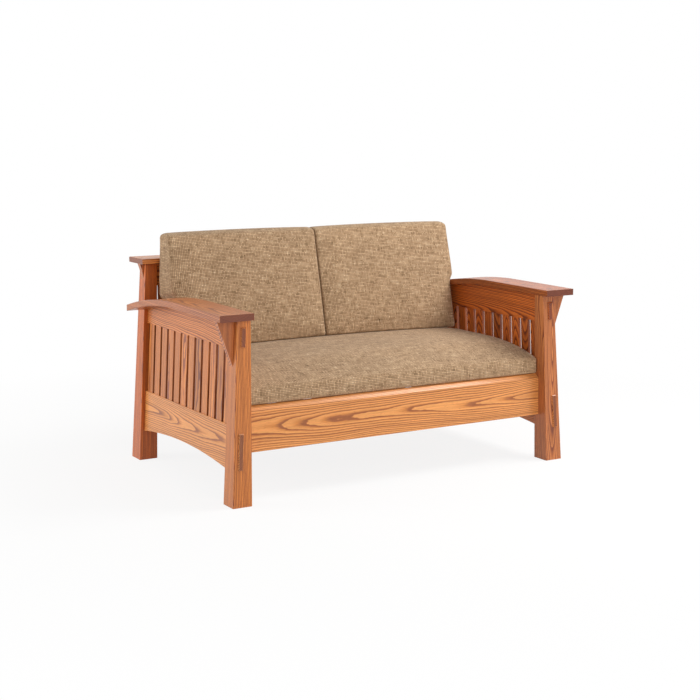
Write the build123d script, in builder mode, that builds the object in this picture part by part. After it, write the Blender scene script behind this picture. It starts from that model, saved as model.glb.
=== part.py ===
from build123d import *
import math
import os

# Slat-sided settee for two: leaning side frames of tapered posts, arched rails and slats,
# bowed board arms on corbels, a slatted back under a flat cap board, a slatted seat deck,
# one long seat cushion and two loose back cushions.
# Seen from the front, X runs to the right, Y to the back and Z up. The origin is on the floor,
# in the middle of the width and of the depth.

os.makedirs("parts", exist_ok=True)

# Stance of the four posts, measured at the floor
foot_span = 1500.0
post_row_gap = 862.0
post_foot_width = 77.0
post_foot_depth = 80.0

# Head of a front post, under the arm
post_head_width = 55.0
post_head_depth = 56.0
post_inner_lean = 15.0

# Rear posts reach up to the cap
rear_post_foot_depth = 85.5
rear_post_head_depth = 57.0

# Arms: bowed boards. The height is that of the nose's top face; the bend lies at a share of
# the way back, and the heel meets the rear post lower down.
arm_height = 701.0
arm_width = 136.0
arm_thickness = 25.0
arm_nose_overhang = 2.0
arm_inner_overhang = 2.0
arm_bend_rise = 3.0
arm_bend_share = 0.4466
arm_heel_fall = 56.0

# Cap board over the rear posts, its top above the arms' noses
cap_rise = 127.0
cap_thickness = 22.0
cap_depth = 138.0
cap_front_overhang = 40.0
cap_end_overhang = 30.0

# Side frame
side_rail_setback = 16.0
side_rail_thickness = 19.0
lower_rail_top = 288.0
lower_rail_foot = 122.0
lower_rail_arch = 28.0
upper_rail_height = 111.0
tenon_shoulder = 14.0
lower_tenon_drop = 18.0
upper_tenon_drop = 25.0
tenon_proud = 6.0
tenon_chamfer = 3.0
tenon_wall = 4.0
blind_tenon_depth = 35.0
side_slat_count = 12
slat_width = 48.0
slat_thickness = 12.5
slat_tongue = 10.0

# Front rail, rear rail and upper back rail
rail_thickness = 25.0
rail_back_inset = 1.0
rail_bottom = 184.0
rail_face_top = 337.0
rail_bevel_rise = 17.0
rail_bevel_depth = 20.0
rail_tenon_thickness = 12.0
back_panel_setback = 6.0
upper_back_rail_height = 92.0
back_slat_count = 21

# Seat deck
deck_thickness = 18.0
deck_slat_width = 75.0
deck_slat_count = 9
deck_end_gap = 2.0
cleat_depth = 20.0
cleat_height = 25.0
cleat_end_gap = 26.0
stretcher_thickness = 25.0
stretcher_height = 80.0
stretcher_tongue = 10.0
stretcher_tongue_height = 45.0

# Corbels
corbel_thickness = 26.0
corbel_setback = 44.0
corbel_inset = 10.0
corbel_height = 168.0
cap_corbel_reach = 19.0
cap_corbel_height = 64.0
cap_corbel_hollow = 3.0

# Wood screws and dowels
screw_length = 38.0
screw_shank_radius = 2.25
screw_head_radius = 4.5
screw_head_height = 2.5
screw_tip = 5.0
dowel_radius = 4.0
dowel_depth_long = 20.0
dowel_depth_short = 14.0
arm_dowel_spacing = 24.0
cap_dowel_place = 39.0

# Cushions
section_steps = 4
seat_end_gap = 6.0
seat_rear_gap = 7.0
seat_edge_height = 80.0
seat_crown = 56.0
seat_crown_fall_share = 0.35
seat_pull = 5.0
seat_corner = 26.0
seat_sole_corner = 12.0
seat_end_corner = 10.0
back_end_gap = 4.0
back_middle_gap = 3.0
back_cap_gap = 2.0
back_sole_depth = 201.0
back_head_depth = 86.0
back_head_rise = 88.0
back_head_lean = 8.0
back_head_fall = 4.0
back_crown = 22.0
back_face_swell = 14.0
back_swell_fall_share = 0.6
back_corner = 20.0
back_sole_corner = 16.0
back_end_corner = 10.0

# Clearances, eased edges and the overrun of cuts
joint_fit = 0.1
blind_gap = 1.0
dowel_fit = 0.1
screw_fit = 0.2
rest_gap = 0.3
post_edge = 2.0
board_edge = 3.0
slat_edge = 1.5
overrun = 5.0

# Heights that follow from the sizes above
arm_under = arm_height - arm_thickness
bend_height = arm_height + arm_bend_rise
heel_height = arm_height - arm_heel_fall
cap_top = arm_height + cap_rise
cap_under = cap_top - cap_thickness
rail_top = rail_face_top + rail_bevel_rise
deck_under = rail_top - deck_thickness
cleat_under = deck_under - cleat_height
stretcher_bottom = deck_under - stretcher_height
upper_rail_bottom = arm_under - upper_rail_height
upper_back_rail_bottom = cap_under - upper_back_rail_height
back_head_height = cap_top + back_head_rise
lower_tenon = (lower_rail_foot + tenon_shoulder, lower_rail_top - lower_tenon_drop)
upper_tenon = (upper_rail_bottom + tenon_shoulder, arm_under - upper_tenon_drop)
heel_tenon = (upper_rail_bottom + tenon_shoulder, heel_height - arm_thickness - tenon_shoulder)
front_rail_tenon = (rail_bottom + tenon_shoulder, rail_face_top - tenon_shoulder)
rear_rail_tenon = (rail_bottom + tenon_shoulder, rail_top - tenon_shoulder)
upper_back_tenon = (upper_back_rail_bottom + tenon_shoulder, cap_under - tenon_shoulder)

# Slopes of the posts' faces
inner_slope = post_inner_lean / arm_under
outer_slope = inner_slope + (post_foot_width - post_head_width) / arm_under
depth_slope = (post_foot_depth - post_head_depth) / arm_under
rear_slope = (rear_post_foot_depth - rear_post_head_depth) / cap_under
lean = math.atan(outer_slope)

# Places along the depth
overall_depth = arm_nose_overhang + post_row_gap + cap_depth - cap_front_overhang
front_line = arm_nose_overhang - overall_depth / 2
rear_line = front_line + post_row_gap
arm_nose = front_line - arm_nose_overhang
front_post_back = front_line + post_foot_depth
rail_back = front_post_back - rail_back_inset
rail_front = rail_back - rail_thickness
panel_front = rear_line + back_panel_setback
cap_front = rear_line - cap_front_overhang
slat_inset = (side_rail_thickness - slat_thickness) / 2
back_slat_inset = (rail_thickness - slat_thickness) / 2
tenon_inset = (rail_thickness - rail_tenon_thickness) / 2


def outer_x(height):
    """X of the left posts' outer faces at a height."""
    return -foot_span / 2 + outer_slope * height


def inner_x(height):
    """X of the left posts' inner faces at a height."""
    return -foot_span / 2 + post_foot_width + inner_slope * height


def front_face_y(height):
    """Y of the front posts' sloping front faces at a height."""
    return front_line + depth_slope * height


def rear_face_y(height):
    """Y of the rear posts' sloping back faces at a height."""
    return rear_line + rear_post_foot_depth - rear_slope * height


def tenon_end(height):
    """X of the end of a long rail's left tenon, a wall's thickness short of the side tenon."""
    side_tenon = (side_rail_setback + side_rail_thickness) / math.cos(lean)
    return outer_x(height) + side_tenon + tenon_wall


def up(height):
    """Length along the leaning side frame that reaches a height."""
    return height / math.cos(lean)


def side_plane(inset):
    """Leaning plane of the left side frame, inset from the posts' outer faces, facing inwards."""
    return Plane(
        origin=(-foot_span / 2 + inset / math.cos(lean), 0, 0),
        x_dir=(0, 1, 0),
        z_dir=(math.cos(lean), 0, -math.sin(lean)),
    )


def upright_plane(y):
    """Plane across the width at a place along the depth; a negative extrusion goes back."""
    return Plane.XZ.offset(-y)


def oblong(left, right, bottom, top):
    """Rectangle from its four limits, in the sketch's own directions."""
    Polygon((left, bottom), (right, bottom), (right, top), (left, top), align=None)


def save(piece, name):
    """Labels a finished piece and writes it."""
    piece.part.label = name
    export_step(piece.part, f"parts/{name}.step")


def save_pair(piece, name):
    """Writes the left piece and its mirror image on the right."""
    save(piece, f"{name}_left")
    with BuildPart() as twin:
        mirror(piece.part, about=Plane.YZ)
    save(twin, f"{name}_right")


# The arms' inner edges stand just inside the posts
arm_inner = -inner_x(arm_under) - arm_inner_overhang
arm_outer = arm_inner + arm_width

# Bow of the arm: a nearly level run from the nose, then one tangent arc down to the heel
bend_run = arm_bend_share * post_row_gap
bow_direction = (bend_run + arm_nose_overhang, arm_bend_rise)
nose_point = (arm_nose, arm_height)
bend_point = (front_line + bend_run, bend_height)
heel_point = (rear_line, heel_height)


def lowered(point, drop):
    """A side-view point moved straight down."""
    return (point[0], point[1] - drop)


# Everything above the arms' underside, which posts, rails and corbels are cut to
with BuildPart() as above_underside:
    with BuildSketch(Plane.YZ):
        with BuildLine():
            Line(lowered(nose_point, arm_thickness), lowered(bend_point, arm_thickness))
            TangentArc(
                lowered(bend_point, arm_thickness),
                lowered(heel_point, arm_thickness),
                tangent=bow_direction,
            )
            Polyline(
                lowered(heel_point, arm_thickness),
                (rear_line, cap_top),
                (arm_nose, cap_top),
                lowered(nose_point, arm_thickness),
            )
        make_face()
    extrude(amount=arm_outer, both=True)

# Places of the arm dowels: upright ones in the front posts, level ones in the rear posts
post_head_x = (outer_x(arm_under) + inner_x(arm_under)) / 2
post_head_y = (front_face_y(arm_under) + front_post_back) / 2
heel_dowel_height = heel_height - arm_thickness / 2
dowel_shifts = (-arm_dowel_spacing / 2, arm_dowel_spacing / 2)
cap_dowel_x = (outer_x(cap_under) + inner_x(cap_under)) / 2


def arm_dowels(radius, extra):
    """The four dowels of the left arm, grown by a radial fit and lengthened at both ends."""
    for shift in dowel_shifts:
        with Locations((post_head_x, post_head_y + shift, arm_under - dowel_depth_long - extra)):
            Cylinder(
                radius,
                dowel_depth_long + dowel_depth_short + 2 * extra,
                align=(Align.CENTER, Align.CENTER, Align.MIN),
                mode=Mode.ADD,
            )
        with Locations((post_head_x + shift, rear_line, heel_dowel_height)):
            Cylinder(radius, 2 * (dowel_depth_long + extra), rotation=(90, 0, 0), mode=Mode.ADD)


def cap_dowels(radius, extra):
    """The two dowels between the left rear post and the cap board."""
    cap_dowel_foot = cap_under - dowel_depth_long - extra
    for shift in dowel_shifts:
        with Locations((cap_dowel_x + shift, rear_line + cap_dowel_place, cap_dowel_foot)):
            Cylinder(
                radius,
                dowel_depth_long + dowel_depth_short + 2 * extra,
                align=(Align.CENTER, Align.CENTER, Align.MIN),
                mode=Mode.ADD,
            )


with BuildPart() as arm_dowel_bores:
    arm_dowels(dowel_radius + dowel_fit, blind_gap)
with BuildPart() as cap_dowel_bores:
    cap_dowels(dowel_radius + dowel_fit, blind_gap)

# Front post: plumb at the back, tapered in front, leaning inwards
with BuildPart() as front_post:
    with BuildSketch(Plane.XZ):
        Polygon(
            (outer_x(0), 0),
            (inner_x(0), 0),
            (inner_x(bend_height), bend_height),
            (outer_x(bend_height), bend_height),
            align=None,
        )
    extrude(amount=overall_depth, both=True)
    with BuildSketch(Plane.YZ):
        Polygon(
            (front_line, 0),
            (front_post_back, 0),
            (front_post_back, bend_height),
            (front_face_y(bend_height), bend_height),
            align=None,
        )
    extrude(amount=foot_span, both=True, mode=Mode.INTERSECT)
    fillet(front_post.edges().sort_by(SortBy.LENGTH)[-4:], radius=post_edge)
    add(above_underside.part, mode=Mode.SUBTRACT)
    with BuildSketch(side_plane(side_rail_setback - joint_fit)):
        for low, high in (lower_tenon, upper_tenon):
            oblong(
                arm_nose - overrun,
                front_post_back + overrun,
                up(low) - joint_fit,
                up(high) + joint_fit,
            )
    extrude(amount=side_rail_thickness + 2 * joint_fit, mode=Mode.SUBTRACT)
    with BuildSketch(upright_plane(rail_front + tenon_inset - joint_fit)):
        low, high = front_rail_tenon
        oblong(
            tenon_end(high) - blind_gap,
            inner_x(high) + overrun,
            low - joint_fit,
            high + joint_fit,
        )
    extrude(amount=-(rail_tenon_thickness + 2 * joint_fit), mode=Mode.SUBTRACT)
    add(arm_dowel_bores.part, mode=Mode.SUBTRACT)
save_pair(front_post, "front_post")

# Rear post: plumb in front, tapered behind, running up to the cap
with BuildPart() as rear_post:
    with BuildSketch(Plane.XZ):
        Polygon(
            (outer_x(0), 0),
            (inner_x(0), 0),
            (inner_x(cap_under), cap_under),
            (outer_x(cap_under), cap_under),
            align=None,
        )
    extrude(amount=overall_depth, both=True)
    with BuildSketch(Plane.YZ):
        Polygon(
            (rear_line, 0),
            (rear_face_y(0), 0),
            (rear_face_y(cap_under), cap_under),
            (rear_line, cap_under),
            align=None,
        )
    extrude(amount=foot_span, both=True, mode=Mode.INTERSECT)
    fillet(rear_post.edges().sort_by(SortBy.LENGTH)[-4:], radius=post_edge)
    with BuildSketch(side_plane(side_rail_setback - joint_fit)):
        for low, high in (lower_tenon, heel_tenon):
            oblong(
                rear_line - overrun,
                rear_line + blind_tenon_depth + blind_gap,
                up(low) - joint_fit,
                up(high) + joint_fit,
            )
    extrude(amount=side_rail_thickness + 2 * joint_fit, mode=Mode.SUBTRACT)
    with BuildSketch(upright_plane(panel_front + tenon_inset - joint_fit)):
        for low, high in (rear_rail_tenon, upper_back_tenon):
            oblong(
                tenon_end(high) - blind_gap,
                inner_x(high) + overrun,
                low - joint_fit,
                high + joint_fit,
            )
    extrude(amount=-(rail_tenon_thickness + 2 * joint_fit), mode=Mode.SUBTRACT)
    add(arm_dowel_bores.part, mode=Mode.SUBTRACT)
    add(cap_dowel_bores.part, mode=Mode.SUBTRACT)
save_pair(rear_post, "rear_post")

# Arm: the bowed side view carried across its width, all long edges eased
with BuildPart() as arm:
    with BuildSketch(Plane.YZ.offset(-arm_outer)):
        with BuildLine():
            Line(nose_point, bend_point)
            TangentArc(bend_point, heel_point, tangent=bow_direction)
            Line(heel_point, lowered(heel_point, arm_thickness))
            TangentArc(
                lowered(bend_point, arm_thickness),
                lowered(heel_point, arm_thickness),
                tangent=bow_direction,
            )
            Line(lowered(bend_point, arm_thickness), lowered(nose_point, arm_thickness))
            Line(lowered(nose_point, arm_thickness), nose_point)
        make_face()
    extrude(amount=arm_width)
    outer_edges = arm.faces().sort_by(Axis.X)[0].edges()
    inner_edges = arm.faces().sort_by(Axis.X)[-1].edges()
    fillet(outer_edges + inner_edges, radius=board_edge)
    add(arm_dowel_bores.part, mode=Mode.SUBTRACT)
save_pair(arm, "arm")

with BuildPart() as left_arm_dowels:
    arm_dowels(dowel_radius, 0)
with BuildPart() as arm_dowel_set:
    add(left_arm_dowels.part)
    mirror(left_arm_dowels.part, about=Plane.YZ)
save(arm_dowel_set, "arm_dowels")

# Front corbel: a straight wedge under the arm, on the front post's outer face
with BuildPart() as front_corbel:
    corbel_tip = arm_under - corbel_height
    corbel_reach_x = corbel_inset - arm_outer
    with BuildSketch(upright_plane(front_line + corbel_setback)):
        Polygon(
            (outer_x(corbel_tip), corbel_tip),
            (outer_x(bend_height), bend_height),
            (corbel_reach_x, bend_height),
            (corbel_reach_x, arm_under),
            align=None,
        )
    extrude(amount=-corbel_thickness)
    slope_edges = front_corbel.faces().sort_by(Axis.Z)[0].edges()
    fillet(slope_edges.filter_by(Axis.Y, reverse=True), radius=post_edge)
    add(above_underside.part, mode=Mode.SUBTRACT)
save_pair(front_corbel, "front_corbel")

# Cap corbel: a small hollowed wedge under the cap, in the middle of the rear post's outer face
with BuildPart() as cap_corbel:
    cap_corbel_tip = cap_under - cap_corbel_height
    cap_corbel_front = (rear_line + rear_face_y(cap_under) - corbel_thickness) / 2
    tip_point = (outer_x(cap_corbel_tip), cap_corbel_tip)
    reach_point = (outer_x(cap_under) - cap_corbel_reach, cap_under)
    with BuildSketch(upright_plane(cap_corbel_front)):
        with BuildLine():
            Line(tip_point, (outer_x(cap_under), cap_under))
            Line((outer_x(cap_under), cap_under), reach_point)
            SagittaArc(reach_point, tip_point, cap_corbel_hollow)
        make_face()
    extrude(amount=-corbel_thickness)
save_pair(cap_corbel, "cap_corbel")

# Side rails, straight or arched, with through tenons in front and blind ones behind
opening_middle = (front_post_back + rear_line) / 2
side_opening = rear_line - front_post_back
side_slat_gap = (side_opening - side_slat_count * slat_width) / (side_slat_count + 1)
side_slat_places = [
    front_post_back + side_slat_gap + slat_width / 2 + index * (slat_width + side_slat_gap)
    for index in range(side_slat_count)
]


def side_tenons(through, blind):
    """Outlines of a side rail's through tenon in front and of its blind tenon behind."""
    low, high = through
    Polygon(
        (front_post_back, up(low)),
        (front_post_back, up(high)),
        (front_face_y(high) - tenon_proud, up(high)),
        (front_face_y(low) - tenon_proud, up(low)),
        align=None,
    )
    low, high = blind
    oblong(rear_line, rear_line + blind_tenon_depth, up(low), up(high))


with BuildPart() as lower_side_rail:
    with BuildSketch(side_plane(side_rail_setback)):
        with BuildLine():
            Polyline(
                (front_post_back, up(lower_rail_foot)),
                (front_post_back, up(lower_rail_top)),
                (rear_line, up(lower_rail_top)),
                (rear_line, up(lower_rail_foot)),
            )
            ThreePointArc(
                (rear_line, up(lower_rail_foot)),
                (opening_middle, up(lower_rail_foot + lower_rail_arch)),
                (front_post_back, up(lower_rail_foot)),
            )
        make_face()
    extrude(amount=side_rail_thickness)
    straight_edges = lower_side_rail.edges().filter_by(GeomType.LINE)
    fillet(straight_edges.sort_by(SortBy.LENGTH)[-2:], radius=slat_edge)
    with BuildSketch(side_plane(side_rail_setback)):
        side_tenons(lower_tenon, lower_tenon)
    extrude(amount=side_rail_thickness)
    chamfer(lower_side_rail.faces().sort_by(Axis.Y)[0].edges(), length=tenon_chamfer)
    with BuildSketch(side_plane(side_rail_setback + slat_inset - joint_fit)):
        for place in side_slat_places:
            oblong(
                place - slat_width / 2 - joint_fit,
                place + slat_width / 2 + joint_fit,
                up(lower_rail_top) - slat_tongue - blind_gap,
                up(lower_rail_top) + overrun,
            )
    extrude(amount=slat_thickness + 2 * joint_fit, mode=Mode.SUBTRACT)
save_pair(lower_side_rail, "lower_side_rail")

with BuildPart() as upper_side_rail:
    with BuildSketch(side_plane(side_rail_setback)):
        oblong(front_post_back, rear_line, up(upper_rail_bottom), up(bend_height))
    extrude(amount=side_rail_thickness)
    add(above_underside.part, mode=Mode.SUBTRACT)
    fillet(upper_side_rail.edges().sort_by(SortBy.LENGTH)[-2:], radius=slat_edge)
    with BuildSketch(side_plane(side_rail_setback)):
        side_tenons(upper_tenon, heel_tenon)
    extrude(amount=side_rail_thickness)
    chamfer(upper_side_rail.faces().sort_by(Axis.Y)[0].edges(), length=tenon_chamfer)
    with BuildSketch(side_plane(side_rail_setback + slat_inset - joint_fit)):
        for place in side_slat_places:
            oblong(
                place - slat_width / 2 - joint_fit,
                place + slat_width / 2 + joint_fit,
                up(upper_rail_bottom) - overrun,
                up(upper_rail_bottom) + slat_tongue + blind_gap,
            )
    extrude(amount=slat_thickness + 2 * joint_fit, mode=Mode.SUBTRACT)
save_pair(upper_side_rail, "upper_side_rail")

# Side slats, housed in both rails, each a piece of its own
for index, place in enumerate(side_slat_places, start=1):
    with BuildPart() as side_slat:
        with BuildSketch(side_plane(side_rail_setback + slat_inset)):
            oblong(
                place - slat_width / 2,
                place + slat_width / 2,
                up(lower_rail_top) - slat_tongue,
                up(upper_rail_bottom) + slat_tongue,
            )
        extrude(amount=slat_thickness)
        fillet(side_slat.edges().sort_by(SortBy.LENGTH)[-4:], radius=slat_edge)
    save_pair(side_slat, f"side_slat_{index:02d}")

# Screws: one pattern, pointing down from its head at the origin, and the hole it needs
with BuildPart() as screw:
    with BuildSketch(Plane.XZ):
        Polygon(
            (0, 0),
            (screw_head_radius, 0),
            (screw_shank_radius, -screw_head_height),
            (screw_shank_radius, screw_tip - screw_length),
            (0, -screw_length),
            align=None,
        )
    revolve(axis=Axis.Z)
with BuildPart() as screw_hole:
    with BuildSketch(Plane.XZ):
        Polygon(
            (0, 0),
            (screw_head_radius + screw_fit, 0),
            (screw_shank_radius + screw_fit, -screw_head_height),
            (screw_shank_radius + screw_fit, -screw_length - screw_fit),
            (0, -screw_length - screw_fit),
            align=None,
        )
    revolve(axis=Axis.Z)

# Deck slats run from front to back on two cleats
cleat_half = -inner_x(cleat_under) - cleat_end_gap
deck_pitch = (2 * cleat_half - deck_slat_width) / (deck_slat_count - 1)
deck_places = [(index - (deck_slat_count - 1) / 2) * deck_pitch for index in range(deck_slat_count)]
cleat_middles = (rail_back + cleat_depth / 2, panel_front - cleat_depth / 2)
cleat_screw_places = [place + deck_pitch / 2 for place in deck_places[:-1]]
deck_screw_spots = [
    Location((place, middle, rail_top)) for place in deck_places for middle in cleat_middles
]
cleat_screw_spots = [
    Location((place, face_y, deck_under - cleat_height / 2), (turn, 0, 0))
    for place in cleat_screw_places
    for face_y, turn in ((rail_back + cleat_depth, -90), (panel_front - cleat_depth, 90))
]
with BuildPart() as deck_screw_set:
    with Locations(*deck_screw_spots):
        add(screw.part)
save(deck_screw_set, "deck_screws")
with BuildPart() as cleat_screw_set:
    with Locations(*cleat_screw_spots):
        add(screw.part)
save(cleat_screw_set, "cleat_screws")
with BuildPart() as screw_bores:
    with Locations(*deck_screw_spots, *cleat_screw_spots):
        add(screw_hole.part)

for name, low_y, high_y in (
    ("front_cleat", rail_back, rail_back + cleat_depth),
    ("rear_cleat", panel_front - cleat_depth, panel_front),
):
    with BuildPart() as cleat:
        with BuildSketch(Plane.YZ):
            oblong(low_y, high_y, cleat_under, deck_under)
        extrude(amount=cleat_half, both=True)
        add(screw_bores.part, mode=Mode.SUBTRACT)
    save(cleat, name)

with BuildPart() as deck_slat_set:
    with BuildSketch(Plane.XY.offset(deck_under)):
        for place in deck_places:
            oblong(
                place - deck_slat_width / 2,
                place + deck_slat_width / 2,
                rail_back + deck_end_gap,
                panel_front - deck_end_gap,
            )
    extrude(amount=deck_thickness)
    fillet(deck_slat_set.edges().filter_by(Axis.Y), radius=slat_edge)
    add(screw_bores.part, mode=Mode.SUBTRACT)
save(deck_slat_set, "deck_slats")

# Centre stretcher between the long rails, notched under the cleats
with BuildPart() as centre_stretcher:
    with BuildSketch(Plane.YZ):
        oblong(rail_back, panel_front, stretcher_bottom, deck_under)
        oblong(
            rail_back - stretcher_tongue,
            panel_front + stretcher_tongue,
            stretcher_bottom,
            stretcher_bottom + stretcher_tongue_height,
        )
        for low_y, high_y in (
            (rail_back - overrun, rail_back + cleat_depth),
            (panel_front - cleat_depth, panel_front + overrun),
        ):
            Polygon(
                (low_y, cleat_under),
                (high_y, cleat_under),
                (high_y, deck_under + overrun),
                (low_y, deck_under + overrun),
                align=None,
                mode=Mode.SUBTRACT,
            )
    extrude(amount=stretcher_thickness / 2, both=True)
    add(screw_bores.part, mode=Mode.SUBTRACT)
save(centre_stretcher, "centre_stretcher")

with BuildPart() as stretcher_mortises:
    with BuildSketch(Plane.YZ):
        oblong(
            rail_back - stretcher_tongue - blind_gap,
            panel_front + stretcher_tongue + blind_gap,
            stretcher_bottom - joint_fit,
            stretcher_bottom + stretcher_tongue_height + joint_fit,
        )
    extrude(amount=stretcher_thickness / 2 + joint_fit, both=True)

# Back slats stand between the rear rail and the upper back rail
back_middle_height = (rail_top + upper_back_rail_bottom) / 2
back_opening = -2 * inner_x(back_middle_height)
back_slat_gap = (back_opening - back_slat_count * slat_width) / (back_slat_count + 1)
back_slat_places = [
    (index - (back_slat_count - 1) / 2) * (slat_width + back_slat_gap)
    for index in range(back_slat_count)
]
with BuildPart() as back_slat_mortises:
    with BuildSketch(upright_plane(panel_front + back_slat_inset - joint_fit)):
        for place in back_slat_places:
            oblong(
                place - slat_width / 2 - joint_fit,
                place + slat_width / 2 + joint_fit,
                rail_top - slat_tongue - blind_gap,
                upper_back_rail_bottom + slat_tongue + blind_gap,
            )
    extrude(amount=-(slat_thickness + 2 * joint_fit))

slat_set_names = ("left", "middle", "right")
for index, name in enumerate(slat_set_names):
    first = back_slat_count * index // len(slat_set_names)
    last = back_slat_count * (index + 1) // len(slat_set_names)
    with BuildPart() as back_slat_set:
        with BuildSketch(upright_plane(panel_front + back_slat_inset)):
            for place in back_slat_places[first:last]:
                oblong(
                    place - slat_width / 2,
                    place + slat_width / 2,
                    rail_top - slat_tongue,
                    upper_back_rail_bottom + slat_tongue,
                )
        extrude(amount=-slat_thickness)
        fillet(back_slat_set.edges().filter_by(Axis.Z), radius=slat_edge)
    save(back_slat_set, f"back_slats_{name}")


def long_rail(front_y, low, high, tenon):
    """A rail across the width, its ends cut to the posts' inner faces, with a tenon at each end."""
    with BuildPart() as rail:
        with BuildSketch(upright_plane(front_y)):
            Polygon(
                (inner_x(low), low),
                (-inner_x(low), low),
                (-inner_x(high), high),
                (inner_x(high), high),
                align=None,
            )
        extrude(amount=-rail_thickness)
        tenon_low, tenon_high = tenon
        with BuildSketch(upright_plane(front_y + tenon_inset)):
            oblong(tenon_end(tenon_high), -tenon_end(tenon_high), tenon_low, tenon_high)
        extrude(amount=-rail_tenon_thickness)
    return rail.part


# Front rail with a broad bevel along its top
with BuildPart() as front_rail:
    add(long_rail(rail_front, rail_bottom, rail_top, front_rail_tenon))
    with BuildSketch(Plane.YZ):
        Polygon(
            (rail_front, rail_face_top),
            (rail_front + rail_bevel_depth, rail_top),
            (rail_front + rail_bevel_depth, rail_top + overrun),
            (rail_front - overrun, rail_top + overrun),
            (rail_front - overrun, rail_face_top),
            align=None,
        )
    extrude(amount=foot_span / 2, both=True, mode=Mode.SUBTRACT)
    fillet(front_rail.edges().filter_by(Axis.X).group_by(Axis.Z)[0], radius=slat_edge)
    add(screw_bores.part, mode=Mode.SUBTRACT)
    add(stretcher_mortises.part, mode=Mode.SUBTRACT)
save(front_rail, "front_rail")

with BuildPart() as rear_rail:
    add(long_rail(panel_front, rail_bottom, rail_top, rear_rail_tenon))
    for level in (0, -1):
        fillet(rear_rail.edges().filter_by(Axis.X).group_by(Axis.Z)[level], radius=slat_edge)
    add(screw_bores.part, mode=Mode.SUBTRACT)
    add(stretcher_mortises.part, mode=Mode.SUBTRACT)
    add(back_slat_mortises.part, mode=Mode.SUBTRACT)
save(rear_rail, "rear_rail")

with BuildPart() as upper_back_rail:
    add(long_rail(panel_front, upper_back_rail_bottom, cap_under, upper_back_tenon))
    fillet(upper_back_rail.edges().filter_by(Axis.X).group_by(Axis.Z)[0], radius=slat_edge)
    add(back_slat_mortises.part, mode=Mode.SUBTRACT)
save(upper_back_rail, "upper_back_rail")

# Cap board over both rear posts and the upper back rail
cap_end = -outer_x(cap_under) + cap_end_overhang
with BuildPart() as cap_board:
    with BuildSketch(Plane.XY.offset(cap_under)):
        oblong(-cap_end, cap_end, cap_front, cap_front + cap_depth)
    extrude(amount=cap_thickness)
    fillet(cap_board.edges().filter_by(Axis.Z, reverse=True), radius=board_edge)
    add(cap_dowel_bores.part, mode=Mode.SUBTRACT)
    mirror(cap_dowel_bores.part, about=Plane.YZ, mode=Mode.SUBTRACT)
save(cap_board, "cap_board")

with BuildPart() as left_cap_dowels:
    cap_dowels(dowel_radius, 0)
with BuildPart() as cap_dowel_set:
    add(left_cap_dowels.part)
    mirror(left_cap_dowels.part, about=Plane.YZ)
save(cap_dowel_set, "cap_dowels")

# Seat cushion: side-view sections lofted across the width. Its top is an arc from front to back
# in every section, and the crown and the drawn-in front and back ease off towards the ends.
seat_half = -inner_x(rail_top) - seat_end_gap
seat_sole = rail_top + rest_gap
seat_edge = seat_sole + seat_edge_height
seat_middle_y = (rail_front + rear_line - seat_rear_gap) / 2
seat_half_depth = (rear_line - seat_rear_gap - rail_front) / 2
section_shares = [index / section_steps for index in range(-section_steps, section_steps + 1)]


def seat_reach(share):
    """Half the depth of the seat cushion at a share of its half width."""
    return seat_half_depth - seat_pull * (1 - share**2)


def seat_rise(share):
    """Height of the seat cushion's crown over its edges at a share of its half width."""
    return seat_crown * (1 - seat_crown_fall_share * share**2)


def seat_top(share, y):
    """Height of the seat cushion's top at a share of its half width and a place along the depth."""
    rise = seat_rise(share)
    radius = (seat_reach(share) ** 2 + rise**2) / (2 * rise)
    return seat_edge + rise - radius + math.sqrt(radius**2 - (y - seat_middle_y) ** 2)


with BuildPart() as seat_cushion:
    for share in section_shares:
        low_y = seat_middle_y - seat_reach(share)
        high_y = seat_middle_y + seat_reach(share)
        with BuildSketch(Plane.YZ.offset(share * seat_half)) as seat_section:
            with BuildLine():
                Polyline(
                    (low_y, seat_edge),
                    (low_y, seat_sole),
                    (high_y, seat_sole),
                    (high_y, seat_edge),
                )
                ThreePointArc(
                    (high_y, seat_edge),
                    (seat_middle_y, seat_edge + seat_rise(share)),
                    (low_y, seat_edge),
                )
            make_face()
            fillet(seat_section.vertices().sort_by(Axis.Y)[:2], radius=seat_sole_corner)
            fillet(seat_section.vertices().sort_by(Axis.Y)[-2:], radius=seat_corner)
    loft()
    seat_ends = seat_cushion.faces().sort_by(Axis.X)[0].edges()
    fillet(seat_ends + seat_cushion.faces().sort_by(Axis.X)[-1].edges(), radius=seat_end_corner)
save(seat_cushion, "seat_cushion")

# Back cushions: wedges that lean on the cap's edge. Each stands on a flat sole in the plane that
# touches the crown of the seat cushion under its middle, lifted by the rest gap.
back_rear = cap_front - back_cap_gap
back_sole_front = back_rear - back_sole_depth
back_head_rear = back_rear - back_head_lean
back_head_front = back_head_rear - back_head_depth
back_inner_x = back_middle_gap / 2
back_outer_x = arm_inner - back_end_gap
back_middle_x = (back_inner_x + back_outer_x) / 2
back_half = (back_outer_x - back_inner_x) / 2
sole_middle_y = (back_sole_front + back_rear) / 2
sole_share = back_middle_x / seat_half
sole_middle_z = seat_top(sole_share, sole_middle_y) + rest_gap
sole_fall = seat_top(sole_share, back_sole_front) - seat_top(sole_share, back_rear)
sole_tilt = seat_top(back_inner_x / seat_half, sole_middle_y) - seat_top(
    back_outer_x / seat_half, sole_middle_y
)

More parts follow.
